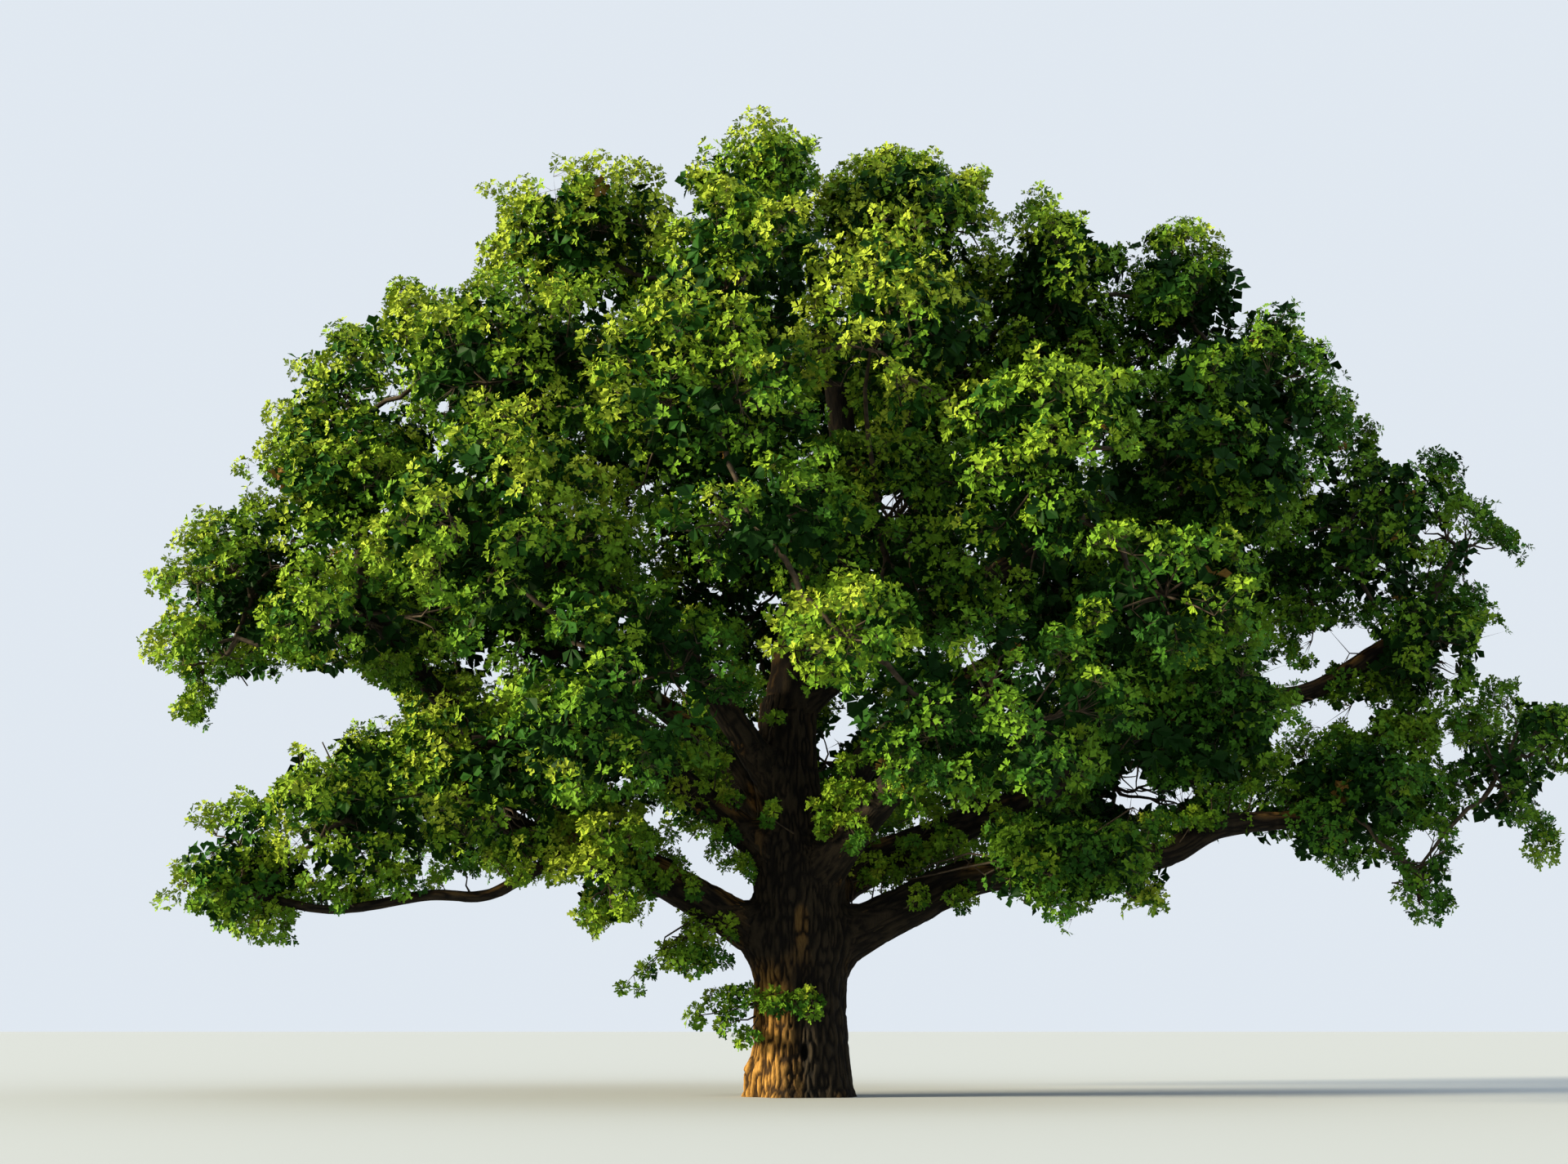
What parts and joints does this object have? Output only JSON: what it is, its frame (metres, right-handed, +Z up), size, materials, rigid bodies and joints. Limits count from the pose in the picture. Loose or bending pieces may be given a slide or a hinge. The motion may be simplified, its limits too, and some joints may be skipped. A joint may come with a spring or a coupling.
{
  "type": "oak tree",
  "caption": "Broad open-grown oak in summer leaf: a short stout trunk, low spreading boughs and a wide domed crown of separate foliage masses.",
  "frame": {"origin": "middle of the flat cut under the trunk, at ground level", "axes": "+Z up; +X along the crown's widest spread, to the right of the usual view; +Y away from that view"},
  "size_m": [26.5982, 19.6291, 17.9341],
  "materials": {
    "bark": "rough",
    "foliage": "matte"
  },
  "bodies": {
    "root": {"trunk": "bark", "bough_back_left": "bark", "bough_back_right": "bark", "bough_front_left": "bark", "bough_front_right": "bark", "bough_leader": "bark", "bough_left_low": "bark", "bough_left_middle": "bark", "bough_left_rear": "bark", "bough_left_sweep": "bark", "bough_right_high": "bark", "bough_right_low": "bark", "bough_right_middle": "bark", "foliage_arm_inner": "foliage", "foliage_arm_middle": "foliage", "foliage_arm_tip": "foliage", "foliage_back_high_1": "foliage", "foliage_back_high_2": "foliage", "foliage_back_low_1": "foliage", "foliage_back_low_2": "foliage", "foliage_back_low_3": "foliage", "foliage_back_middle_1": "foliage", "foliage_back_middle_2": "foliage", "foliage_back_middle_3": "foliage", "foliage_centre": "foliage", "foliage_crest": "foliage", "foliage_crest_hollow": "foliage", "foliage_crest_left": "foliage", "foliage_crest_right": "foliage", "foliage_front_hanging": "foliage", "foliage_front_left": "foliage", "foliage_front_left_high": "foliage", "foliage_front_low_left": "foliage", "foliage_front_low_outer": "foliage", "foliage_front_low_right": "foliage", "foliage_front_middle": "foliage", "foliage_front_outer_right": "foliage", "foliage_front_right": "foliage", "foliage_front_right_high": "foliage", "foliage_front_spire": "foliage", "foliage_left_high": "foliage", "foliage_left_middle": "foliage", "foliage_left_outer": "foliage", "foliage_left_shelf": "foliage", "foliage_left_tip": "foliage", "foliage_left_upper": "foliage", "foliage_right_hanging": "foliage", "foliage_right_high": "foliage", "foliage_right_low": "foliage", "foliage_right_outer": "foliage", "foliage_right_outer_high": "foliage", "foliage_right_outer_middle": "foliage", "foliage_right_tip": "foliage", "foliage_shoulder_left": "foliage", "foliage_shoulder_right": "foliage", "foliage_shoulder_right_outer": "foliage", "foliage_sprig": "foliage", "foliage_under_left": "foliage", "foliage_under_right": "foliage", "foliage_upper_middle": "foliage"}
  },
  "joints": []
}
